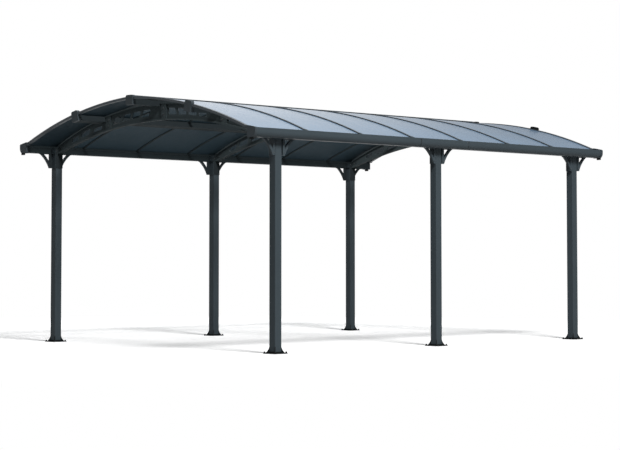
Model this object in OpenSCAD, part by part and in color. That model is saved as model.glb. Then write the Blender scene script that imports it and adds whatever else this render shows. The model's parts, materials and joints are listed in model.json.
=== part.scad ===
// Open-sided arched-roof gazebo (carport shelter): six posts, two gutters,
// three trusses, three purlins and a barrel roof of seven sheets.
// X runs along the length (front is -X), Y across (right side is -Y), Z up.
// Origin: ground level, centre of the footprint.

/* [Overall] */
// Length over the gutter end caps
overall_length = 5040; // [4900:10:5200]
// Width over the gutter end caps
overall_width = 3600; // [3500:10:3640]
// Height of the ridge caps above the ground
overall_height = 2420; // [2400:10:2500]
// Height of the top edge of the gutter fascias
eave_height = 2020; // [2000:5:2030]

/* [Roof] */
// Radius of the outer face of each half of the roof
roof_radius = 5015; // [4900:5:5200]
// Distance from the ridge to the axis of each half's arc, on the other side
roof_offset = 225; // [200:5:250]
// Number of roof sheets along the length
sheet_count = 7; // [5:1:8]
// Thickness of a roof sheet
sheet_thickness = 6; // [4:1:8]
// Width of the visible strip over each sheet joint
strip_width = 24; // [18:1:30]

/* [Posts] */
// Side of a square post
post_size = 80; // [70:1:90]
// Radius of the rounded post corners
post_round = 5; // [4:1:15]
// Distance between neighbouring post lines
post_pitch = 2150; // [2050:10:2200]
// Distance from a fascia face to the post axis
post_inset = 131; // [128:1:136]

/* [Post shoes] */
// Side of the square base plate
plate_size = 164; // [156:1:176]
// Thickness of the base plate
plate_thickness = 6; // [4:1:8]
// Distance between the centres of neighbouring anchor holes
anchor_spacing = 138; // [132:1:142]
// Diameter of an anchor hole
anchor_hole_d = 9; // [7:0.5:11]
// Height of the corner gussets above the ground
shoe_height = 64; // [50:1:80]

/* [Gutters] */
// Height of a gutter fascia
gutter_height = 84; // [76:1:90]
// Width of the gutter trough
gutter_width = 100; // [96:1:104]
// Wall thickness of the gutter profile
gutter_wall = 3; // [2:0.5:4]
// Length of the cover over the joint between two gutter lengths
gutter_cover_length = 690; // [400:10:900]

/* [Trusses and purlins] */
// Depth of the purlins
purlin_depth = 55; // [48:1:60]
// Width of the purlins
purlin_width = 84; // [70:1:90]
// Distance from the ridge to each side purlin
purlin_offset = 873; // [850:1:900]
// Width of the truss chords along the roof
chord_width = 44; // [36:1:60]
// Underside of the truss at the ridge
truss_underside = 2192; // [2180:2:2210]

/* [Hidden] */
$fn = 64;
arc_fn = 360;
overlap = 1;

// Roof arc
ridge_stand = 22;
roof_apex = overall_height - ridge_stand;
arc_z = roof_apex - sqrt(pow(roof_radius, 2) - pow(roof_offset, 2));
sheet_inner_r = roof_radius - sheet_thickness;
profile_r = sheet_inner_r - 9;
end_margin = 18;
sheet_pitch = (overall_length - 2 * end_margin) / sheet_count;
sheet_gap = 6;
strip_height = 8;
roof_half = overall_width / 2 - 60;

// Gutters
cap_skin = 4;
fascia_y = overall_width / 2 - cap_skin;
gutter_bottom = eave_height - gutter_height;
gutter_inner_y = fascia_y - gutter_width;
gutter_length = overall_length - 30;
fascia_round = 62;
fascia_round_z = gutter_bottom + 50;
cap_depth = 26;
spout_d = 50;
spout_drop = 22;

// Posts
post_y = fascia_y - post_inset;
post_x = [-post_pitch, 0, post_pitch];
post_sides = [-1, 1];

// Post heads
head_height = 60;
bracket_drop = 150;
bracket_reach = 196;
bracket_thickness = 24;
bracket_leg = 34;
bracket_strut = 23;
head_sleeve = 5;
head_groove = 9;
head_groove_depth = 14;

// Purlins
purlin_bottom_r = profile_r - purlin_depth;
purlin_sides = [1, 0, -1];
purlin_length = overall_length - 34;
purlin_cap_size = 98;
ridge_cap_size = 108;
purlin_cap_length = 34;
side_cap_stand = 34;

// Trusses
truss_top_r = 3965;
truss_top_z = roof_apex - 33 - truss_top_r;
truss_bottom_r = 5150;
truss_half = post_y - post_size / 2 - head_sleeve;
top_chord_depth = 14;
bottom_chord_depth = 16;
web_thickness = 10;

row_names = ["front", "middle", "rear"];
side_names = ["right", "left"];
purlin_names = ["purlin_left", "purlin_ridge", "purlin_right"];

function corner_names(stem) = [
    for (s = side_names) for (r = row_names) str(stem, "_", s, "_", r)
];
function sheet_names() = [for (i = [1:sheet_count]) str("roof_sheet_", i)];

post_names = corner_names("post");
shoe_names = corner_names("post_shoe");
head_names = corner_names("post_head");
gutter_names = [for (s = side_names) str("gutter_", s)];
gutter_cover_names = [for (s = side_names) str("gutter_joint_cover_", s)];
end_cap_names = [for (s = side_names) for (e = ["front", "rear"]) str("gutter_end_cap_", s, "_", e)];
truss_names = [for (r = row_names) str("truss_", r)];
purlin_cap_names = ["purlin_caps_front", "purlin_caps_rear"];
edge_names = ["edge_profile_front", "edge_profile_rear"];

frame_colour = "#3d464b";
casting_colour = "#24292c";
sheet_colour = "#8ea0b0";

// ---- helpers ----

// Centre of a circle of radius r through a and b, to the right of the way from a to b
function arc_centre(a, b, r) =
    let (d = b - a, l = norm(d)) (a + b) / 2 + sqrt(r * r - l * l / 4) * [d[1], -d[0]] / l;

// Square of side s with round corners of radius r, centred
module round_square(s, r) {
    round_rect(s, s, r);
}

// Rectangle with round corners, centred
module round_rect(w, h, r) {
    square([w - 2 * r, h], center = true);
    square([w, h - 2 * r], center = true);
    for (a = [-1, 1])
        for (b = [-1, 1])
            translate([a * (w / 2 - r), b * (h / 2 - r)]) circle(r);
}

// Extrude a (Y, Z) outline along X, centred
module along_x(length) {
    rotate([90, 0, 90]) linear_extrude(length, center = true) children();
}

// Height of the roof arc of radius r at a distance y from the ridge
function arc_height(r, y = 0) = arc_z + sqrt(r * r - pow(abs(y) + roof_offset, 2));

// Solid pointed arch: the two arcs of radius r meet at the ridge
module pointed_arch(r) {
    intersection_for (m = [-1, 1])
        translate([m * roof_offset, arc_z]) circle(r, $fn = arc_fn);
}

// Arched band between two radii of the roof, cut at a half width
module roof_band(r_out, r_in, half_width = roof_half) {
    intersection() {
        difference() {
            pointed_arch(r_out);
            pointed_arch(r_in);
        }
        translate([-half_width, gutter_bottom - 200]) square([2 * half_width, 1000]);
    }
}

// Places children with the roof arc's outer face as Y = 0, at the ridge or square to a side purlin
module on_roof(side) {
    angle = asin((purlin_offset + roof_offset) / roof_radius);
    if (side == 0)
        translate([0, arc_height(roof_radius)]) children();
    else
        translate([-side * roof_offset, arc_z]) rotate(-side * angle) translate([0, roof_radius]) children();
}

// Rectangle on the roof arc, between two depths below the sheets' outer face
module on_arc(side, width, depth, top_depth) {
    on_roof(side) translate([-width / 2, -depth]) square([width, depth - top_depth]);
}

// Places children at a post axis; index 0-2 is the right side, 3-5 the left
module at_post(i) {
    side = post_sides[floor(i / 3)];
    translate([post_x[i % 3], side * post_y, 0]) scale_side(side) children();
}

// Mirrors children so that +Y always points outwards from the roof
module scale_side(side) {
    mirror([0, side < 0 ? 1 : 0, 0]) children();
}

// ---- posts ----

module post(i) {
    color(frame_colour) at_post(i)
        translate([0, 0, plate_thickness])
            linear_extrude(gutter_bottom - plate_thickness) round_square(post_size, post_round);
}

// Base plate, low rim round the post foot, and a gusset at each corner
module post_shoe(i) {
    rim = 6;
    gusset_thickness = 7;
    gusset_out = 88;
    color(casting_colour) at_post(i) difference() {
        union() {
            linear_extrude(plate_thickness) round_square(plate_size, 12);
            linear_extrude(plate_thickness + 12) round_square(post_size + 2 * rim, post_round + rim);
            for (a = [45:90:315])
                rotate([90, 0, a]) linear_extrude(gusset_thickness, center = true)
                    gusset_outline(gusset_out);
        }
        translate([0, 0, plate_thickness])
            linear_extrude(shoe_height) round_square(post_size, post_round);
        for (a = [-1, 1])
            for (b = [-1, 1])
                translate([a * anchor_spacing / 2, b * anchor_spacing / 2, -overlap])
                    cylinder(h = plate_thickness + 2 * overlap, d = anchor_hole_d);
    }
}

// Concave gusset from the post corner out over the plate
module gusset_outline(out) {
    start = 40;
    inner = [54, shoe_height];
    outer = [out, plate_thickness + 2];
    sweep_r = 90;
    difference() {
        translate([start, 0]) square([out - start, shoe_height]);
        translate(arc_centre(outer, inner, sweep_r)) circle(sweep_r, $fn = 96);
    }
}

// ---- post heads ----

// Sleeve round the top of the post, open over its outer face with a groove on each side of it,
// block beside the gutter, and a curved bracket on each side
module post_head(i) {
    block_x = 112;
    inner_face = post_size / 2 + head_sleeve;
    block_y = post_inset + inner_face - gutter_width;
    sleeve_bottom = gutter_bottom - bracket_drop;
    groove_half = post_size / 2 + head_groove;
    color(casting_colour) at_post(i) difference() {
        union() {
            translate([-block_x / 2, -inner_face, gutter_bottom])
                cube([block_x, block_y, head_height]);
            translate([0, 0, sleeve_bottom]) linear_extrude(bracket_drop)
                round_square(post_size + 2 * head_sleeve, post_round + head_sleeve);
            for (m = [0, 1]) mirror([m, 0, 0]) bracket();
        }
        translate([0, 0, sleeve_bottom - overlap]) linear_extrude(bracket_drop + overlap)
            round_square(post_size, post_round);
        translate([-groove_half, post_size / 2 - head_groove_depth, sleeve_bottom - overlap])
            cube([2 * groove_half, head_groove_depth + 2 * head_sleeve, bracket_drop + overlap]);
    }
}

// Open triangular bracket: leg, top bar and concave strut, flush with the sleeve's outer face
module bracket() {
    top_bar = 7;
    leg_x = post_size / 2;
    arm = bracket_reach - leg_x;
    sweep_r = 330;
    centre = arc_centre([bracket_leg, 0], [arm, bracket_drop], sweep_r);
    translate([0, leg_x + head_sleeve, 0]) rotate([90, 0, 0]) linear_extrude(bracket_thickness)
        translate([leg_x, gutter_bottom - bracket_drop]) {
            square([bracket_leg, bracket_drop]);
            translate([0, bracket_drop - top_bar]) square([arm, top_bar]);
            intersection() {
                square([arm, bracket_drop]);
                translate(centre) difference() {
                    circle(sweep_r + bracket_strut, $fn = 180);
                    circle(sweep_r, $fn = 180);
                }
            }
        }
}

// ---- gutters ----

// Gutter section in the (Y, Z) plane, grown by a skin: straight inside, rounded under the fascia
module gutter_section(skin, top) {
    difference() {
        translate([gutter_inner_y - skin, gutter_bottom - skin])
            square([gutter_width + 2 * skin, top - gutter_bottom + skin]);
        difference() {
            translate([fascia_y - 60, gutter_bottom - 50]) square([100, 100]);
            translate([fascia_y - fascia_round, fascia_round_z]) circle(fascia_round + skin);
        }
    }
}

// Open trough with a lip inside the fascia and a rib on the inner wall
module gutter_outline() {
    lip = 13;
    rib = 6;
    inner_top = arc_height(sheet_inner_r, gutter_inner_y) - 2;
    translate([gutter_inner_y, gutter_bottom]) square([gutter_wall, inner_top - gutter_bottom]);
    difference() {
        gutter_section(0, eave_height);
        gutter_section(-gutter_wall, eave_height + overlap);
        translate([gutter_inner_y - overlap, gutter_bottom + gutter_wall])
            square([gutter_wall + 2 * overlap, gutter_height]);
    }
    translate([fascia_y - lip, eave_height - gutter_wall]) square([lip, gutter_wall]);
    polygon([
        [gutter_inner_y + overlap, inner_top - 16],
        [gutter_inner_y, inner_top - 16],
        [gutter_inner_y - rib, inner_top - 18],
        [gutter_inner_y - rib, inner_top - 21],
        [gutter_inner_y, inner_top - 24],
        [gutter_inner_y + overlap, inner_top - 24]
    ]);
}

module gutter(s) {
    color(frame_colour) scale_side(post_sides[s]) along_x(gutter_length) gutter_outline();
}

// Thin plate over the outside of the fascia where two gutter lengths meet
module gutter_joint_cover(s) {
    cover = 1.2;
    color(frame_colour) scale_side(post_sides[s]) along_x(gutter_cover_length) difference() {
        intersection() {
            gutter_section(cover, eave_height);
            translate([fascia_y - 12, gutter_bottom]) square([40, gutter_height]);
        }
        gutter_section(0, eave_height + overlap);
    }
}

// Moulded cap: closes the trough, laps over the corner of the roof, holds the spout
module gutter_end_cap(i) {
    side = post_sides[floor(i / 2)];
    front = i % 2 == 0;
    wall = 3;
    outlet_depth = 50;
    outlet_width = 80;
    color(casting_colour) scale_side(side) mirror([front ? 0 : 1, 0, 0])
        translate([-overall_length / 2, 0, 0]) difference() {
            union() {
                translate([cap_depth / 2, 0, 0]) along_x(cap_depth) cap_outline(cap_skin);
                translate([outlet_depth / 2, 0, 0]) along_x(outlet_depth) intersection() {
                    gutter_section(cap_skin, eave_height);
                    translate([fascia_y - outlet_width, gutter_bottom - 10]) square([outlet_width, 20]);
                }
                spout(spout_d, 40, 0);
            }
            translate([outlet_depth / 2 + wall, 0, 0]) along_x(outlet_depth) {
                cap_outline(0);
                roof_band(roof_radius + strip_height, profile_r);
            }
            translate([0, 0, -overlap]) spout(spout_d - 2 * wall, 30, wall);
        }
}

// Upright half cylinder of the spout, flat towards the end of the roof and cut at a distance from it
module spout(d, h, face) {
    intersection() {
        translate([0, fascia_y - 48, gutter_bottom - spout_drop]) cylinder(h = h, d = d);
        translate([face, fascia_y - 48 - d, gutter_bottom - 100]) cube([d, 2 * d, 200]);
    }
}

// Outline of a gutter end, grown by a skin, with a roof-shaped top that laps the sheets' corner
module cap_outline(skin) {
    lap = 34;
    rise = 17;
    outer = fascia_y + skin;
    inner = gutter_inner_y - skin;
    top = eave_height + skin;
    gutter_section(skin, eave_height - 8);
    polygon([
        [inner, eave_height - 9],
        [outer, eave_height - 9],
        [outer - 3, top - 6],
        [outer - 9, top - 1],
        [inner + 6, top + rise],
        [inner - lap, top + rise],
        [inner - lap, top + rise - 28]
    ]);
}

// ---- trusses ----

function truss_top(y) = truss_top_z + sqrt(pow(truss_top_r, 2) - y * y);
function truss_bottom(y) = truss_underside - truss_bottom_r + sqrt(pow(truss_bottom_r, 2) - y * y);

// Side view of a truss between its two arcs, each moved inwards by a distance
module truss_outline(from_top, from_bottom) {
    difference() {
        intersection() {
            translate([0, truss_top_z]) circle(truss_top_r - from_top, $fn = arc_fn);
            translate([-truss_half, gutter_bottom]) square([2 * truss_half, 600]);
        }
        translate([0, truss_underside - truss_bottom_r]) circle(truss_bottom_r + from_bottom, $fn = arc_fn);
    }
}

// Unit vector from a to b
function towards(a, b) = (b - a) / norm(b - a);

// Convex quadrilateral, given anticlockwise, with round corners
module rounded_quad(points, r) {
    steps = 6;
    polygon([
        for (i = [0:3])
            let (p = points[i], u = towards(points[(i + 3) % 4], p), v = towards(p, points[(i + 1) % 4]))
            let (turn = acos(u * v), start = atan2(-u[0], u[1]))
            let (centre = p + r / cos(turn / 2) * towards(u, v))
            for (k = [0:steps])
                centre + r * [cos(start + turn * k / steps), sin(start + turn * k / steps)]
    ]);
}

// Openings in the web of one half: [distance from the ridge, width, top margin, bottom margin]
module truss_openings() {
    lean = 0.5;
    for (o = [
        [200, 122, 53, 53], [350, 122, 53, 53], [500, 122, 52, 50], [650, 122, 52, 46],
        [975, 150, 70, 40], [1175, 150, 40, 40], [1344, 116, 36, 36]
    ]) {
        shift = lean * (truss_top(o[0]) - truss_bottom(o[0]) - o[2] - o[3]) / 2;
        left = o[0] - o[1] / 2;
        right = o[0] + o[1] / 2;
        rounded_quad([
            [left + shift, truss_bottom(left + shift) + o[3]],
            [right + shift, truss_bottom(right + shift) + o[3]],
            [right - shift, truss_top(right - shift) - o[2]],
            [left - shift, truss_top(left - shift) - o[2]]
        ], 12);
    }
}

module truss(row) {
    cleat_width = 80;
    color(frame_colour) translate([post_x[row], 0, 0]) difference() {
        union() {
            along_x(web_thickness) difference() {
                truss_outline(0, 0);
                for (m = [0, 1]) mirror([m, 0]) truss_openings();
            }
            along_x(chord_width) difference() {
                truss_outline(0, 0);
                truss_outline(top_chord_depth, bottom_chord_depth);
            }
            along_x(chord_width - 8) intersection() {
                truss_outline(overlap, overlap);
                for (k = purlin_sides)
                    translate([k * purlin_offset - purlin_width / 2 - 10 - cleat_width, gutter_bottom])
                        square([cleat_width, 600]);
            }
        }
        for (k = purlin_sides)
            along_x(chord_width + 2) on_arc(k, purlin_width, purlin_depth + roof_radius - profile_r, -50);
    }
}

// ---- purlins ----

// Box profile with a small lip along each lower edge
module purlin(i) {
    lip = 5;
    top = roof_radius - profile_r;
    bottom = top + purlin_depth;
    color(frame_colour) along_x(purlin_length) {
        on_arc(purlin_sides[i], purlin_width - 2 * lip, bottom, top);
        on_arc(purlin_sides[i], purlin_width, bottom, bottom - 9);
    }
}

// Three caps that close the purlins at one end and lap over the roof edge
module purlin_caps(end) {
    side = post_sides[end];
    wall = 5;
    x = side * (overall_length - purlin_cap_length) / 2;
    bottom = roof_radius - purlin_bottom_r;
    color(casting_colour) for (k = purlin_sides)
        translate([x, 0, 0]) difference() {
            along_x(purlin_cap_length) purlin_cap_outline(k);
            translate([-side * wall, 0, 0]) along_x(purlin_cap_length) {
                on_arc(k, purlin_width + 1, bottom + 1, -strip_height);
                roof_band(roof_radius + strip_height, profile_r);
            }
        }
}

// Rounded-top outline of a purlin cap
module purlin_cap_outline(side) {
    width = side == 0 ? ridge_cap_size : purlin_cap_size;
    stand = side == 0 ? ridge_stand : side_cap_stand;
    bottom = roof_radius - purlin_bottom_r + 3;
    round_r = 20;
    on_arc(side, width, bottom, round_r - stand);
    on_arc(side, width - 2 * round_r, bottom, -stand);
    on_roof(side)
        for (m = [-1, 1])
            translate([m * (width / 2 - round_r), stand - round_r]) circle(round_r);
}

// ---- roof ----

function sheet_x(i) = -overall_length / 2 + end_margin + (i + 0.5) * sheet_pitch;

module roof_sheet(i) {
    color(sheet_colour) translate([sheet_x(i), 0, 0])
        along_x(sheet_pitch - sheet_gap) roof_band(roof_radius, sheet_inner_r);
}

// Cap strip, web and lower strip over the joint between two sheets
module joint_profile() {
    web = 4;
    difference() {
        union() {
            along_x(strip_width) roof_band(roof_radius + strip_height, roof_radius);
            along_x(web) roof_band(roof_radius + overlap, sheet_inner_r - overlap);
            along_x(strip_width) roof_band(sheet_inner_r, profile_r);
        }
        along_x(strip_width + 2) on_arc(0, 38, 1, -40);
    }
}

module joint_profiles() {
    color(frame_colour) for (i = [1:sheet_count - 1])
        translate([sheet_x(i) - sheet_pitch / 2, 0, 0]) joint_profile();
}

// Channel that closes the open edge of the first or last sheet
module edge_profile(end) {
    side = post_sides[end];
    wall = 3;
    depth = 34;
    x = side * (overall_length / 2 - 6 - depth / 2);
    color(frame_colour) translate([x, 0, 0]) {
        along_x(depth) roof_band(roof_radius + strip_height, roof_radius);
        along_x(depth) roof_band(sheet_inner_r, profile_r);
        translate([side * (depth - wall) / 2, 0, 0])
            along_x(wall) roof_band(roof_radius + strip_height, profile_r);
    }
}

// Long strip along the ridge, between the ridge caps
module ridge_strip() {
    width = 36;
    round_r = 7;
    base = arc_height(roof_radius, width / 2) - overlap;
    top = overall_height;
    color(frame_colour) along_x(overall_length - 110) {
        translate([-width / 2, base]) square([width, top - base - round_r]);
        translate([-width / 2 + round_r, base]) square([width - 2 * round_r, top - base]);
        for (m = [-1, 1]) translate([m * (width / 2 - round_r), top - round_r]) circle(round_r);
    }
}

// ---- assembly ----

for (i = [0:5]) post(i);
for (i = [0:5]) post_shoe(i);
for (i = [0:5]) post_head(i);
for (s = [0:1]) gutter(s);
for (s = [0:1]) gutter_joint_cover(s);
for (i = [0:3]) gutter_end_cap(i);
for (r = [0:2]) truss(r);
for (i = [0:2]) purlin(i);
for (e = [0:1]) purlin_caps(e);
for (i = [0:sheet_count - 1]) roof_sheet(i);
for (e = [0:1]) edge_profile(e);
joint_profiles();
ridge_strip();
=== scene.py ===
"""Looks for the arched-roof shelter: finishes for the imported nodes, fasteners, seals and the studio."""
import json
import math

import bmesh
import bpy
from mathutils import Matrix, Vector


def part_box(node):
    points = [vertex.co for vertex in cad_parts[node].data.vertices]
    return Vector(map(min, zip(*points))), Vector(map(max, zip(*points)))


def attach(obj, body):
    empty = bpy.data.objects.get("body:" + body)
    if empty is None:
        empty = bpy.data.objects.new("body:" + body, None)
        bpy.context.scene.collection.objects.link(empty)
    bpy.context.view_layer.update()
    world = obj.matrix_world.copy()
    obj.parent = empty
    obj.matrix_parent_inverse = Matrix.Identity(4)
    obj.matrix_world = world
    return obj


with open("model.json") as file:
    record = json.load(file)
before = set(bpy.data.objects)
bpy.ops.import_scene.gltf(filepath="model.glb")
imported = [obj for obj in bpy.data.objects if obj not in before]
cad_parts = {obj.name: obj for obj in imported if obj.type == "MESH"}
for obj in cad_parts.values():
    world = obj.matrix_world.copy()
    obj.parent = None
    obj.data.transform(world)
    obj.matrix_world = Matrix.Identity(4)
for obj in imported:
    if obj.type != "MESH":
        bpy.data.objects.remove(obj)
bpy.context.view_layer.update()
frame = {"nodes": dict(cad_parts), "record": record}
NODES = frame["nodes"]
RECORD = frame["record"]
SIDES = ("right", "left")
ROWS = ("front", "middle", "rear")

# Optical index of the coatings and rubber, and of the roof sheets
COATING_INDEX = 1.5
SHEET_INDEX = 1.58

# Distance from the middle of the length where painted shade on the sheets' inner skin starts, and where
# it is full
SHEET_END_SHADE_START, SHEET_END_SHADE_FULL = 1.85, 2.15

# Share of the light that the sheets let through up to the first distance from the ridge, and from
# the second one to the eave
EAVE_START, EAVE_FULL = 1.40, 1.54
CLEAR_SHARE, EAVE_SHARE = 0.985, 0.54

# Edges that turn more than this are drawn sharp on the small pieces
SHARP_TURN = math.radians(35)

# Fasteners: size across flats, height and washer radius, or the diameter of a screw head
FRAME_BOLT = (0.013, 0.006, 0.010)
FRAME_NUT = (0.013, 0.008, 0.010)
FOOT_BOLT = (0.010, 0.005, 0.008)
ANCHOR_NUT = (0.015, 0.007, 0.0115)
FRAME_NUT_DOME, ANCHOR_NUT_DOME = 0.004, 0.0066
LEG_SCREW, ROOF_SCREW, COVER_SCREW = 0.009, 0.008, 0.006

# How far out of the hole's middle the shoe is probed for the height that an anchor nut sits on
HOLE_EDGE = 0.0095

# Screws through the bracket legs: from the post's side, and above the head's lowest point
LEG_SCREW_OUT = 0.0215
LEG_SCREW_HEIGHTS = (0.022, 0.105)
# Bolts from the head block into the gutter: each side of the post's middle, and under the head's top
BLOCK_BOLT_OUT, BLOCK_BOLT_DROP = 0.036, 0.030

# Truss bolts: distance from a purlin's side, half of the truss's width there, and places up its web
CLEAT_BOLT_OUT, CLEAT_HALF = 0.045, 0.018
CLEAT_BOLT_SHARES = (0.32, 0.68)
# Bolts at the foot of a truss: distance from its end, pitch, and half of the web's thickness
FOOT_BOLT_IN, FOOT_BOLT_PITCH, WEB_HALF = 0.035, 0.03, 0.005

# Half the width of the strip over a sheet joint, half the width of a rubber lip, and the
# lips' distance from the open edge of the first and last sheet
STRIP_HALF, LIP_HALF, OPEN_EDGE_INSET = 0.012, 0.0022, 0.0155
# Sealing screws: distance from the eave end of a joint strip
ROOF_SCREW_IN = 0.075
# Screws of a joint cover: distance from its ends, and under its top
COVER_SCREW_IN = 0.02
COVER_SCREW_DROPS = (0.012, 0.032)

# Studio
LAMP_PLACE = Vector((-4.2, -12.4, 13.6))
LAMP_AIM = Vector((0, 0, 1.0))
LAMP_DISK, LAMP_WATTS = 4.8, 5100
FLOOR_RADIUS = 70.0
# The floor's middle, and the reach round it over which the floor fades into white
FADE_CENTRE = (-0.3, 1.3, 0)
FADE_START, FADE_END = 4.6, 7.5

# Camera
CAMERA_PLACE = (-13.4154, -13.8399, 0.8551)
CAMERA_RISE, CAMERA_HEADING = math.radians(2.879), math.radians(-43.855)
CAMERA_SENSOR, CAMERA_LENS, CAMERA_SHIFT = 36, 106.66, -0.095


# ---- node tree helpers ----

class Tree:
    """A material's node tree, with short ways to add nodes and link them."""

    def __init__(self, name):
        self.material = bpy.data.materials.new(name)
        self.material.use_nodes = True
        self.nodes = self.material.node_tree.nodes
        self.links = self.material.node_tree.links
        self.nodes.clear()
        self.output = self.nodes.new("ShaderNodeOutputMaterial")

    def add(self, kind, inputs=None, **settings):
        node = self.nodes.new("ShaderNode" + kind)
        for key, value in settings.items():
            setattr(node, key, value)
        for key, value in (inputs or {}).items():
            if isinstance(value, bpy.types.NodeSocket):
                self.links.new(value, node.inputs[key])
            else:
                node.inputs[key].default_value = value
        return node

    def place(self):
        """Position in metres, in the part's own frame."""
        return self.add("TexCoord").outputs["Object"]

    def scaled(self, scale):
        return self.add("Mapping", {"Vector": self.place(), "Scale": scale}).outputs["Vector"]

    def noise(self, size, detail=2.0, roughness=0.5, stretch=(1, 1, 1)):
        """Noise from 0 to 1 whose features are about size metres across."""
        scale = tuple(s / size for s in stretch)
        node = self.add("TexNoise", {"Vector": self.scaled(scale), "Scale": 1.0,
                                     "Detail": detail, "Roughness": roughness})
        return node.outputs["Fac"]

    def span(self, value, low, high, to_low=0.0, to_high=1.0):
        node = self.add("MapRange", {"Value": value, "From Min": low, "From Max": high,
                                     "To Min": to_low, "To Max": to_high}, clamp=True)
        return node.outputs["Result"]

    def math(self, operation, a, b=0.0):
        node = self.add("Math", {0: a, 1: b}, operation=operation)
        return node.outputs[0]

    def mix(self, factor, a, b, blend="MIX"):
        node = self.add("Mix", data_type="RGBA", blend_type=blend)
        for index, value in ((0, factor), (6, a), (7, b)):
            if isinstance(value, bpy.types.NodeSocket):
                self.links.new(value, node.inputs[index])
            elif index == 0:
                node.inputs[0].default_value = value
            else:
                node.inputs[index].default_value = (*value[:3], 1.0)
        return node.outputs[2]

    def bump(self, height, distance, strength=1.0, normal=None):
        node = self.add("Bump", {"Height": height, "Distance": distance, "Strength": strength})
        if normal is not None:
            self.links.new(normal, node.inputs["Normal"])
        return node.outputs["Normal"]

    def surface(self, socket):
        self.links.new(socket, self.output.inputs["Surface"])
        return self.material


def shade(colour, factor):
    return tuple(c * factor for c in colour)


def edge_mask(tree, radius):
    """1 within about radius of a sharp edge, 0 on flat faces."""
    rounded = tree.add("Bevel", {"Radius": radius}, samples=4).outputs["Normal"]
    plain = tree.add("NewGeometry").outputs["Normal"]
    dot = tree.add("VectorMath", {0: rounded, 1: plain}, operation="DOT_PRODUCT").outputs["Value"]
    return tree.span(dot, 0.995, 0.85)


# ---- materials ----

def powder_coat(name, colour, roughness=0.46, specular=0.10):
    """Fine-textured satin powder coat on aluminium, with a patchy painted highlight along its edges."""
    t = Tree(name)
    broad = t.noise(0.9, 3)
    cloud = t.noise(0.12, 4, 0.6)
    grain = t.noise(0.0035, 2, 0.6)
    tone = t.mix(t.span(broad, 0.3, 0.7), shade(colour, 0.93), shade(colour, 1.07))
    tone = t.mix(t.math("MULTIPLY", t.span(cloud, 0.35, 0.75), 0.35), tone, shade(colour, 1.12))
    tone = t.mix(t.math("MULTIPLY", grain, 0.22), tone, shade(colour, 0.72))
    # painted highlight: the colour turns paler within about 2 mm of sharp edges, in patches
    edge_highlight = t.math("MULTIPLY", edge_mask(t, 0.0022), t.span(t.noise(0.05, 3), 0.35, 0.7, 0.12, 0.5))
    tone = t.mix(edge_highlight, tone, shade(colour, 1.9))
    rough = t.span(cloud, 0.3, 0.7, roughness - 0.05, roughness + 0.08)
    peel = t.bump(t.noise(0.0022, 1), 0.00016, 0.55)
    wave = t.bump(t.noise(0.11, 1, stretch=(0.35, 1, 1)), 0.0007, 0.30, peel)
    shader = t.add("BsdfPrincipled", {"Base Color": tone, "Roughness": rough, "Normal": wave,
                                      "IOR": COATING_INDEX, "Specular IOR Level": specular})
    return t.surface(shader.outputs["BSDF"])


def moulded_plastic(name, colour, roughness=0.58, specular=0.18):
    """Grained nylon moulding with faint flow marks and a painted highlight along its edges."""
    t = Tree(name)
    flow = t.noise(0.06, 3, 0.6, (1, 1, 0.4))
    grain = t.add("TexVoronoi", {"Vector": t.scaled((700, 700, 700)), "Scale": 1.0}).outputs["Distance"]
    tone = t.mix(t.span(flow, 0.3, 0.7), shade(colour, 0.86), shade(colour, 1.14))
    tone = t.mix(t.math("MULTIPLY", grain, 0.30), tone, shade(colour, 0.70))
    # painted highlight: paler colour along sharp edges
    tone = t.mix(t.math("MULTIPLY", edge_mask(t, 0.0025), 0.35), tone, shade(colour, 2.0))
    rough = t.span(flow, 0.3, 0.7, roughness - 0.06, roughness + 0.08)
    skin = t.bump(grain, 0.00022, 0.5)
    skin = t.bump(t.noise(0.025, 2), 0.0005, 0.25, skin)
    shader = t.add("BsdfPrincipled", {"Base Color": tone, "Roughness": rough, "Normal": skin,
                                      "IOR": COATING_INDEX, "Specular IOR Level": specular})
    return t.surface(shader.outputs["BSDF"])


def lets_light_through(tree, shader):
    """Translucent sheet: most light passes on to what is below, less of it beside the eaves."""
    across = tree.math("ABSOLUTE", tree.add("SeparateXYZ", {"Vector": tree.place()}).outputs["Y"])
    share = tree.span(across, EAVE_START, EAVE_FULL, CLEAR_SHARE, EAVE_SHARE)
    clear = tree.add("BsdfTransparent", {"Color": (1.0, 1.0, 1.0, 1.0)}).outputs["BSDF"]
    path = tree.add("LightPath")
    passing = tree.math("MAXIMUM", path.outputs["Is Shadow Ray"], path.outputs["Is Diffuse Ray"])
    factor = tree.math("MULTIPLY", passing, share)
    mixed = tree.add("MixShader", {"Fac": factor, 1: shader, 2: clear})
    return mixed.outputs["Shader"]


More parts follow.
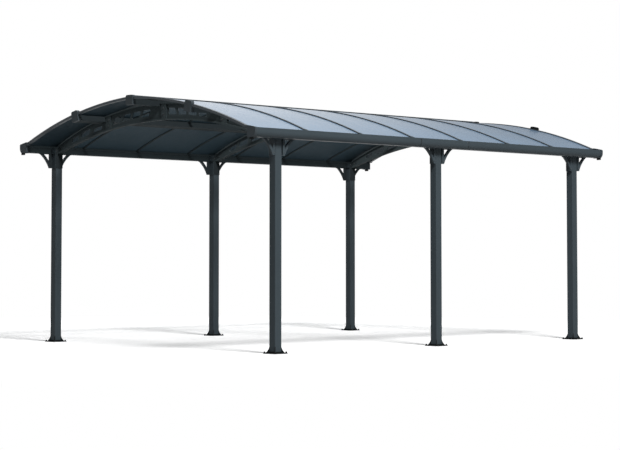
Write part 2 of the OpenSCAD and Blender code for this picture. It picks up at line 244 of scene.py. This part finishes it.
def twin_wall(name, colour, roughness, specular, rib_depth, pitch=0.008, dust=0.0, sag_depth=0.0012,
              end_shade_tone=1.0):
    """Skin of a twin-wall sheet: fine ribs along the arch show as faint lines and a slight ripple; the
    skin can carry painted shade towards its ends.
    """
    t = Tree(name)
    x = t.add("SeparateXYZ", {"Vector": t.place()}).outputs["X"]
    phase = t.math("MULTIPLY", x, 2 * math.pi / pitch)
    rib = t.span(t.math("COSINE", phase), -1, 1)
    rib_line = t.math("POWER", rib, 10.0)
    broad = t.noise(0.55, 3)
    film = t.noise(0.04, 4, 0.6, (1, 0.4, 1))
    tone = t.mix(t.span(broad, 0.3, 0.7), shade(colour, 0.95), shade(colour, 1.05))
    tone = t.mix(t.math("MULTIPLY", rib_line, 0.18), tone, shade(colour, 0.60))
    tone = t.mix(t.math("MULTIPLY", film, dust), tone, (0.33, 0.36, 0.38))
    # painted shade: the skin darkens towards both ends of the length, down to the end tone
    ends = t.span(t.math("ABSOLUTE", x), SHEET_END_SHADE_START, SHEET_END_SHADE_FULL)
    tone = t.mix(t.math("MULTIPLY", ends, 1.0 - end_shade_tone), tone, (0.0, 0.0, 0.0))
    rough = t.span(film, 0.3, 0.75, roughness, roughness + 0.08)
    ripple = t.bump(rib, rib_depth, 0.6)
    sag = t.bump(t.noise(0.40, 1, stretch=(1, 0.5, 1)), sag_depth, 0.12, ripple)
    shader = t.add("BsdfPrincipled", {"Base Color": tone, "Roughness": rough, "Normal": sag,
                                      "IOR": SHEET_INDEX, "Specular IOR Level": specular})
    return t.surface(lets_light_through(t, shader.outputs["BSDF"]))


def rubber(name, colour=(0.012, 0.013, 0.014)):
    """Black sealing rubber with a dry, slightly streaked skin."""
    t = Tree(name)
    streak = t.noise(0.02, 3, 0.6, (1, 0.15, 1))
    tone = t.mix(streak, shade(colour, 0.7), shade(colour, 1.6))
    rough = t.span(streak, 0.2, 0.8, 0.62, 0.82)
    skin = t.bump(t.noise(0.0015, 2), 0.0001, 0.5)
    shader = t.add("BsdfPrincipled", {"Base Color": tone, "Roughness": rough, "Normal": skin,
                                      "IOR": COATING_INDEX, "Specular IOR Level": 0.2})
    return t.surface(shader.outputs["BSDF"])


def coated_steel(name, colour=(0.035, 0.040, 0.044)):
    """Dark zinc-flake coated fastener: half metallic, mottled, with a painted highlight on its corners.
    """
    t = Tree(name)
    mottle = t.noise(0.004, 3, 0.6)
    tone = t.mix(t.span(mottle, 0.3, 0.7), shade(colour, 0.75), shade(colour, 1.3))
    # painted highlight: pale grey on the sharp corners
    tone = t.mix(t.math("MULTIPLY", edge_mask(t, 0.0008), 0.5), tone, (0.25, 0.26, 0.27))
    rough = t.span(mottle, 0.3, 0.7, 0.34, 0.50)
    skin = t.bump(mottle, 0.0001, 0.3)
    shader = t.add("BsdfPrincipled", {"Base Color": tone, "Metallic": 0.6, "Roughness": rough,
                                      "Normal": skin})
    return t.surface(shader.outputs["BSDF"])


MAT = {
    "frame": powder_coat("anthracite_powder_coat", (0.034, 0.045, 0.052)),
    # painted light: the truss's anthracite is paler than the frame's, to lift its shaded faces
    "truss": powder_coat("anthracite_truss_painted_light", (0.050, 0.064, 0.068), roughness=0.55, specular=0.03),
    "strip": powder_coat("anthracite_strip", (0.034, 0.044, 0.052), roughness=0.38, specular=0.3),
    "fittings": moulded_plastic("moulded_cap", (0.030, 0.039, 0.045)),
    "shoe": moulded_plastic("moulded_shoe", (0.0065, 0.0080, 0.0085), roughness=0.65, specular=0.05),
    "sheet_top": twin_wall("sheet_outer_skin", (0.100, 0.167, 0.252), 0.16, 0.5, 0.00025, dust=0.04),
    # painted shade: the inner skin is the same polycarbonate as the outer skin, coloured much darker, and
    # darker again towards the sheet ends
    "sheet_under_shaded": twin_wall("sheet_inner_skin_painted_shade", (0.039, 0.065, 0.083), 0.55, 0.028, 0.0003,
                             end_shade_tone=0.5),
    "sheet_edge": twin_wall("sheet_cut_edge", (0.08, 0.11, 0.13), 0.40, 0.3, 0.0002),
    # painted shade: darker, less glossy anthracite for faces turned down or inward
    "painted_shade": powder_coat("anthracite_painted_shade", (0.024, 0.032, 0.035), roughness=0.6, specular=0.03),
    # painted deep shade: darker still, for the faces deepest in shade
    "inner": powder_coat("anthracite_shaded_side", (0.014, 0.018, 0.020), roughness=0.6, specular=0.03),
    "rubber": rubber("sealing_rubber"),
    "steel": coated_steel("coated_fastener"),
}


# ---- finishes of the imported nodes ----

def soften(node, width):
    """Small radius on the hard edges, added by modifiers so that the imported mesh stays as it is."""
    weld = node.modifiers.new("join_faces", "WELD")
    weld.merge_threshold = 0.00002
    bevel = node.modifiers.new("soft_edges", "BEVEL")
    bevel.width = width
    bevel.segments = 2
    bevel.limit_method = "ANGLE"
    bevel.angle_limit = math.radians(40)
    bevel.harden_normals = True
    bevel.use_clamp_overlap = True


def paint(node, *materials):
    node.data.materials.clear()
    for material in materials:
        node.data.materials.append(material)


def paint_sheet(node):
    """Outer skin, inner skin and cut edges each get their own finish; the inner skin's colour is painted
    much darker than the outer skin's, as painted shade.
    """
    paint(node, MAT["sheet_edge"], MAT["sheet_top"], MAT["sheet_under_shaded"])
    for face in node.data.polygons:
        up = face.normal.z
        face.material_index = 1 if up > 0.5 else 2 if up < -0.5 else 0


def paint_fittings(node):
    """Grained caps; the gutter caps' spouts are black, and all but the end faces of the rear caps are
    painted black as painted shade.
    """
    paint(node, MAT["fittings"], MAT["shoe"])
    gutter_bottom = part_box("gutter_right")[0].z
    for face in node.data.polygons:
        spout = node.name.startswith("gutter") and face.center.z < gutter_bottom - 0.002
        # painted shade: the rear caps' faces other than their end faces get the black finish
        rear = node.name.endswith("caps_rear") and face.normal.x < 0.5
        face.material_index = 1 if spout or rear else 0


def paint_sides(node, usual, other, turned):
    """The usual finish, and the other one on the faces whose normal passes the test."""
    paint(node, MAT[usual], MAT[other])
    for face in node.data.polygons:
        face.material_index = 1 if turned(face.normal) else 0


def finish_nodes():
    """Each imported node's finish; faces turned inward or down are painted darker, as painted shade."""
    for name, node in NODES.items():
        if name.startswith("roof_sheet"):
            paint_sheet(node)
        elif name.startswith("post_shoe"):
            paint(node, MAT["shoe"])
        elif name.startswith(("gutter_end_cap", "purlin_caps")):
            paint_fittings(node)
            soften(node, 0.004)
        # the second finish in each paint_sides call below is painted shade
        elif name.startswith("truss"):
            paint_sides(node, "truss", "painted_shade", lambda n: abs(n.x) < 0.7 and n.z < 0.3)
        elif name.startswith("purlin"):
            paint_sides(node, "painted_shade", "inner", lambda n: abs(n.y) > 0.5)
        elif name.startswith("post_head_left"):
            paint_sides(node, "frame", "inner", lambda n: n.y < -0.5)
        elif name == "gutter_right":
            paint_sides(node, "frame", "painted_shade", lambda n: n.y > 0.5)
        elif name == "gutter_left":
            paint_sides(node, "frame", "painted_shade", lambda n: n.y < -0.5)
        elif name == "joint_profiles":
            paint_sides(node, "strip", "painted_shade", lambda n: n.z < 0.3)
        elif name.startswith(("edge_profile", "ridge_strip")):
            paint(node, MAT["strip"])
        else:
            paint(node, MAT["frame"])


finish_nodes()


# ---- mesh helpers ----

def frame_of(at, axis, spin=0.0):
    """Matrix that stands a local +Z shape on a point, along an axis."""
    turn = Vector(axis).normalized().to_track_quat("Z", "Y").to_matrix().to_4x4()
    return Matrix.Translation(at) @ turn @ Matrix.Rotation(spin, 4, "Z")


def lathe(bm, profile, matrix, segments):
    """Closed turned shape from (radius, height) pairs; a radius of 0 closes an end."""
    rings = []
    for radius, height in profile:
        if radius < 1e-7:
            rings.append([bm.verts.new(matrix @ Vector((0, 0, height)))])
            continue
        ring = []
        for i in range(segments):
            a = 2 * math.pi * i / segments
            place = Vector((radius * math.cos(a), radius * math.sin(a), height))
            ring.append(bm.verts.new(matrix @ place))
        rings.append(ring)
    for low, high in zip(rings, rings[1:]):
        for i in range(segments):
            j = (i + 1) % segments
            a, b = low[i % len(low)], low[j % len(low)]
            c, d = high[j % len(high)], high[i % len(high)]
            corners = []
            for v in (a, b, c, d):
                if v not in corners:
                    corners.append(v)
            if len(corners) > 2:
                bm.faces.new(corners)


def washer(bm, matrix, radius, thickness):
    t = thickness
    lathe(bm, [(0, 0), (radius, 0), (radius, t * 0.7), (radius - t * 0.3, t), (0, t)], matrix, 24)


def hex_head(bm, at, axis, across, height, washer_radius, spin=0.0, dome=0.0):
    """Washer, chamfered hexagon head and, if asked for, the dome of a cap nut."""
    thick = across * 0.10
    matrix = frame_of(at, axis, spin)
    washer(bm, matrix, washer_radius, thick)
    r = across / math.sqrt(3)
    up = matrix @ Matrix.Translation((0, 0, thick))
    lathe(bm, [(0, 0), (r * 0.93, 0), (r, height * 0.10), (r, height * 0.86), (r * 0.90, height),
               (0, height)], up, 6)
    if dome:
        steps = [(dome * math.cos(a), height + dome * math.sin(a))
                 for a in (math.radians(18 * k) for k in range(5))]
        lathe(bm, [(0, height * 0.9), (dome, height * 0.9), *steps, (0, height + dome)], up, 18)


def pan_screw(bm, at, axis, diameter):
    """Low domed screw head with a hexagon socket, on a thin sealing washer."""
    r = diameter / 2
    matrix = frame_of(at, axis)
    washer(bm, matrix, r * 1.35, r * 0.16)
    up = matrix @ Matrix.Translation((0, 0, r * 0.14))
    lathe(bm, [(0, 0), (r, 0), (r * 0.98, r * 0.22), (r * 0.80, r * 0.50), (r * 0.50, r * 0.62),
               (r * 0.42, r * 0.62), (r * 0.36, r * 0.25), (0, r * 0.25)], up, 18)


def bar(bm, path, outline, sideways):
    """Sweeps a closed outline of (side, out) pairs along points, with flat ends."""
    rings = []
    for i, point in enumerate(path):
        before, after = path[max(i - 1, 0)], path[min(i + 1, len(path) - 1)]
        along = (Vector(after) - Vector(before)).normalized()
        side = Vector(sideways)
        out = side.cross(along).normalized()
        if out.z < 0:
            out = -out
        rings.append([bm.verts.new(Vector(point) + side * s + out * o) for s, o in outline])
    count = len(outline)
    for low, high in zip(rings, rings[1:]):
        for i in range(count):
            j = (i + 1) % count
            bm.faces.new((low[i], low[j], high[j], high[i]))
    bm.faces.new(rings[0])
    bm.faces.new(rings[-1])


def piece(name, bm, material):
    """Turns the mesh into a piece of the object that rides on its one body."""
    bmesh.ops.recalc_face_normals(bm, faces=bm.faces)
    for edge in bm.edges:
        edge.smooth = len(edge.link_faces) == 2 and edge.calc_face_angle(0) < SHARP_TURN
    for face in bm.faces:
        face.smooth = True
    mesh = bpy.data.meshes.new(name)
    bm.to_mesh(mesh)
    bm.free()
    obj = bpy.data.objects.new(name, mesh)
    bpy.context.scene.collection.objects.link(obj)
    mesh.materials.append(material)
    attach(obj, "root")


def surface_height(name, x, y, above=True):
    """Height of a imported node's top (or underside) at a place on plan."""
    start, way = ((x, y, 5.0), (0, 0, -1)) if above else ((x, y, -1.0), (0, 0, 1))
    hit, place, _, _ = NODES[name].ray_cast(start, way)
    return place.z if hit else None


# ---- fasteners and seals ----

def anchor_pattern():
    """Half the spacing of the anchor holes along X and Y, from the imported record."""
    mount = next(m for m in RECORD["mounts"] if m["kind"] == "bolt_pattern")
    return mount["dims"]["spacing_x_mm"] / 2000, mount["dims"]["spacing_y_mm"] / 2000


def anchor_nuts():
    """A capped nut and washer over each anchor hole of the six shoes."""
    dx, dy = anchor_pattern()
    for side in SIDES:
        for row in ROWS:
            low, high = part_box(f"post_shoe_{side}_{row}")
            centre = (low + high) / 2
            bm = bmesh.new()
            for k, (a, b) in enumerate(((-1, -1), (1, -1), (1, 1), (-1, 1))):
                x, y = centre.x + a * dx, centre.y + b * dy
                z = surface_height(f"post_shoe_{side}_{row}", x + HOLE_EDGE * a, y)
                hex_head(bm, (x, y, z), (0, 0, 1), *ANCHOR_NUT, 0.4 * k, dome=ANCHOR_NUT_DOME)
            piece(f"anchor_nuts_{side}_{row}", bm, MAT["shoe"])


def bracket_screws():
    """Screws through both bracket legs into the post, and bolts from the head block into the gutter."""
    for side in SIDES:
        out = -1 if side == "right" else 1
        for row in ROWS:
            post_low, post_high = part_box(f"post_{side}_{row}")
            head_low, head_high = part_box(f"post_head_{side}_{row}")
            face_y, inner_y = (head_low.y, head_high.y) if out < 0 else (head_high.y, head_low.y)
            bm = bmesh.new()
            for m, edge in ((-1, post_low.x), (1, post_high.x)):
                for height in LEG_SCREW_HEIGHTS:
                    at = (edge + m * LEG_SCREW_OUT, face_y, head_low.z + height)
                    pan_screw(bm, at, (0, out, 0), LEG_SCREW)
                x = (post_low.x + post_high.x) / 2 + m * BLOCK_BOLT_OUT
                at = (x, inner_y, head_high.z - BLOCK_BOLT_DROP)
                hex_head(bm, at, (0, -out, 0), *FRAME_BOLT)
            piece(f"bracket_screws_{side}_{row}", bm, MAT["steel"])


def cleat_bolts():
    """Two bolts through each truss beside each purlin, with heads and nuts, and two at its feet."""
    for row in ROWS:
        name = f"truss_{row}"
        low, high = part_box(name)
        x = (low.x + high.x) / 2
        bm = bmesh.new()
        for purlin in ("purlin_left", "purlin_ridge", "purlin_right"):
            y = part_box(purlin)[0].y - CLEAT_BOLT_OUT
            top = surface_height(name, x, y)
            bottom = surface_height(name, x, y, False)
            for share in CLEAT_BOLT_SHARES:
                z = bottom + (top - bottom) * share
                hex_head(bm, (x - CLEAT_HALF, y, z), (-1, 0, 0), *FRAME_BOLT, 0.3)
                at = (x + CLEAT_HALF, y, z)
                hex_head(bm, at, (1, 0, 0), *FRAME_NUT, 0.8, dome=FRAME_NUT_DOME)
        for m, edge in ((-1, low.y), (1, high.y)):
            for k in (0, 1):
                y = edge - m * (FOOT_BOLT_IN + FOOT_BOLT_PITCH * k)
                z = (surface_height(name, x, y) + surface_height(name, x, y, False)) / 2
                for way in (-1, 1):
                    hex_head(bm, (x + way * WEB_HALF, y, z), (way, 0, 0), *FOOT_BOLT)
        piece(f"truss_bolts_{row}", bm, MAT["steel"])


def joint_places():
    """Middle of each gap between neighbouring sheets."""
    sheets = sorted((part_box(n) for n in NODES if n.startswith("roof_sheet")), key=lambda b: b[0].x)
    return [((a[1].x + b[0].x) / 2, a, b) for a, b in zip(sheets, sheets[1:])]


def arch(name, x, steps=64, margin=0.0):
    """Points over the top of a sheet from one eave to the other."""
    low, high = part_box(name)
    start, end = low.y + 0.002 + margin, high.y - 0.002 - margin
    points = []
    for i in range(steps + 1):
        y = start + (end - start) * i / steps
        z = surface_height(name, x, y)
        if z is not None:
            points.append((x, y, z))
    return points


def sheet_names():
    return sorted((n for n in NODES if n.startswith("roof_sheet")), key=lambda n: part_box(n)[0].x)


def seals():
    """Rubber lips that show on both sides of each joint strip and along the edge profiles."""
    bead = [(0.0026 * math.cos(a), 0.0008 + LIP_HALF * math.sin(a))
            for a in (math.radians(60 * k) for k in range(6))]
    bm = bmesh.new()
    names = sheet_names()
    for name in names:
        low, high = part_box(name)
        for m, edge in ((1, low.x), (-1, high.x)):
            first = name == names[0] and m == 1
            last = name == names[-1] and m == -1
            inset = OPEN_EDGE_INSET if first or last else STRIP_HALF - 0.003
            bar(bm, arch(name, edge + m * (inset + LIP_HALF)), bead, (1, 0, 0))
    piece("sheet_seals", bm, MAT["rubber"])


def joint_ends():
    """Small moulded foot that closes each joint strip above the gutter."""
    outline = [(-0.015, -0.001), (-0.015, 0.008), (-0.011, 0.012),
               (0.011, 0.012), (0.015, 0.008), (0.015, -0.001)]
    bm = bmesh.new()
    first = sheet_names()[0]
    points = arch(first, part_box(first)[0].x + 0.1, 100)
    for x, _, _ in joint_places():
        for end in (points[:3], points[-3:]):
            bar(bm, [(x, p[1], p[2]) for p in end], outline, (1, 0, 0))
    piece("joint_strip_ends", bm, MAT["fittings"])


def roof_screws():
    """Sealing screw near both ends of every joint strip."""
    bm = bmesh.new()
    lip_low, lip_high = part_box("joint_profiles")
    for x, _, _ in joint_places():
        for m, edge in ((-1, lip_low.y), (1, lip_high.y)):
            y = edge - m * ROOF_SCREW_IN
            z = surface_height("joint_profiles", x, y)
            z_in = surface_height("joint_profiles", x, y - m * 0.02)
            pan_screw(bm, (x, y, z), (0, m * (z_in - z), 0.02), ROOF_SCREW)
    piece("roof_screws", bm, MAT["steel"])


def cover_seams():
    """Bead of sealant along both ends of each joint cover, over the face of the gutter."""
    width, proud = 0.006, 0.0012
    bm = bmesh.new()
    for side in SIDES:
        out = -1 if side == "right" else 1
        cover = NODES[f"gutter_joint_cover_{side}"]
        low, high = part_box(cover.name)
        for m, edge in ((-1, low.x), (1, high.x)):
            rings = []
            for i in range(25):
                z = high.z - 0.001 - (high.z - low.z - 0.004) * i / 24
                hit, place, normal, _ = cover.ray_cast((edge - m * 0.004, out * 2.5, z), (0, -out, 0))
                if not hit:
                    continue
                away = Vector((0, normal.y, normal.z)).normalized() * proud
                near, far = edge - m * 0.002, edge + m * (width - 0.002)
                inner = Vector((0, place.y - out * 0.004, place.z))
                outer = Vector((0, place.y, place.z)) + away
                corners = ((near, inner), (near, outer), (far, outer), (far, inner))
                rings.append([bm.verts.new((x, at.y, at.z)) for x, at in corners])
            for a, b in zip(rings, rings[1:]):
                for i in range(4):
                    j = (i + 1) % 4
                    bm.faces.new((a[i], a[j], b[j], b[i]))
            bm.faces.new(rings[0])
            bm.faces.new(rings[-1])
    piece("joint_cover_seams", bm, MAT["rubber"])


def gutter_screws():
    """Two screws at each end of the joint covers, on the face of the fascia."""
    for side in SIDES:
        out = -1 if side == "right" else 1
        low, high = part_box(f"gutter_joint_cover_{side}")
        face_y = low.y if out < 0 else high.y
        bm = bmesh.new()
        for x in (low.x + COVER_SCREW_IN, high.x - COVER_SCREW_IN):
            for drop in COVER_SCREW_DROPS:
                pan_screw(bm, (x, face_y, high.z - drop), (0, out, 0), COVER_SCREW)
        piece(f"gutter_cover_screws_{side}", bm, MAT["steel"])


anchor_nuts()
bracket_screws()
cleat_bolts()
seals()
joint_ends()
roof_screws()
cover_seams()
gutter_screws()


# ---- studio ----

def seen_directly(tree):
    """1 for rays that show the background itself: camera, glossy and transmission rays."""
    path = tree.add("LightPath")
    both = tree.math("MAXIMUM", path.outputs["Is Camera Ray"], path.outputs["Is Glossy Ray"])
    return tree.math("MAXIMUM", both, path.outputs["Is Transmission Ray"])


def floor_material():
    """Pale floor, evenly lit, that keeps the object's soft shadow and fades into the white."""
    t = Tree("studio_floor")
    place = t.add("NewGeometry").outputs["Position"]
    mottling = t.noise(0.8, 2)
    from_lamp = t.add("VectorMath", {0: place, 1: LAMP_PLACE}, operation="DISTANCE").outputs["Value"]
    falloff = t.math("POWER", t.math("DIVIDE", from_lamp, LAMP_PLACE.length), 3.0)
    tone = t.math("MULTIPLY", falloff, t.span(mottling, 0.2, 0.8, 0.88, 0.90))
    diffuse = t.add("BsdfDiffuse", {"Color": tone}).outputs["BSDF"]
    lift = t.add("Emission", {"Color": (1, 1, 1, 1), "Strength": 0.12}).outputs["Emission"]
    lit = t.add("AddShader", {0: diffuse, 1: lift}).outputs["Shader"]
    white = t.add("Emission", {"Color": (1, 1, 1, 1), "Strength": 1.0}).outputs["Emission"]
    reach = t.add("VectorMath", {0: place, 1: FADE_CENTRE}, operation="DISTANCE").outputs["Value"]
    far = t.span(reach, FADE_START, FADE_END)
    shown = t.add("MixShader", {"Fac": far, 1: lit, 2: white}).outputs["Shader"]
    bounce = t.add("BsdfDiffuse", {"Color": (0.32, 0.32, 0.32, 1.0)}).outputs["BSDF"]
    final = t.add("MixShader", {"Fac": seen_directly(t), 1: bounce, 2: shown})
    return t.surface(final.outputs["Shader"])


class WorldTree(Tree):
    """The same short ways to add nodes, for the world."""

    def __init__(self, name):
        world = bpy.data.worlds.new(name)
        world.use_nodes = True
        bpy.context.scene.world = world
        self.material = world
        self.nodes, self.links = world.node_tree.nodes, world.node_tree.links
        self.nodes.clear()
        self.output = self.nodes.new("ShaderNodeOutputWorld")


def studio_world():
    """Dim surroundings that show as white, with a greyer wall at the +X end for reflections."""
    t = WorldTree("studio_white")
    towards = t.add("SeparateXYZ", {"Vector": t.add("TexCoord").outputs["Generated"]}).outputs
    path = t.add("LightPath")
    wall = t.math("MULTIPLY", t.span(towards["X"], 0.665, 0.760, 1.0, 0.36),
                  t.span(towards["Z"], 0.07, 0.18, 0.66, 1.0))
    plain = t.math("MAXIMUM", path.outputs["Is Camera Ray"], path.outputs["Is Transmission Ray"])
    strength = t.math("MAXIMUM", plain, wall)
    dim = t.add("Background", {"Color": (0.97, 1.0, 1.02, 1), "Strength": 0.18})
    white = t.add("Background", {"Color": (1, 1, 1, 1), "Strength": strength})
    mix = t.add("MixShader", {"Fac": seen_directly(t), 1: dim.outputs["Background"],
                              2: white.outputs["Background"]})
    t.surface(mix.outputs["Shader"])


def studio():
    """Round floor, far wider than the view."""
    bm = bmesh.new()
    bmesh.ops.create_circle(bm, cap_ends=True, radius=FLOOR_RADIUS, segments=96)
    mesh = bpy.data.meshes.new("studio_floor")
    bm.to_mesh(mesh)
    bm.free()
    floor = bpy.data.objects.new("studio_floor", mesh)
    bpy.context.scene.collection.objects.link(floor)
    mesh.materials.append(floor_material())


def key_light():
    """One large soft lamp, high and in front of the right side."""
    lamp = bpy.data.lights.new("key", "AREA")
    lamp.shape = "DISK"
    lamp.size = LAMP_DISK
    lamp.energy = LAMP_WATTS
    obj = bpy.data.objects.new("key", lamp)
    bpy.context.scene.collection.objects.link(obj)
    obj.location = LAMP_PLACE
    obj.rotation_euler = (LAMP_AIM - obj.location).to_track_quat("-Z", "Y").to_euler()


def camera():
    """Long lens from the front right, close to the ground."""
    data = bpy.data.cameras.new("camera")
    obj = bpy.data.objects.new("camera", data)
    bpy.context.scene.collection.objects.link(obj)
    bpy.context.scene.camera = obj
    obj.location = CAMERA_PLACE
    obj.rotation_euler = (math.pi / 2 + CAMERA_RISE, 0, CAMERA_HEADING)
    data.sensor_fit = "HORIZONTAL"
    data.sensor_width = CAMERA_SENSOR
    data.lens = CAMERA_LENS
    data.shift_y = CAMERA_SHIFT
    data.clip_end = 300


studio()
studio_world()
key_light()
camera()
bpy.context.scene.view_settings.view_transform = "Standard"
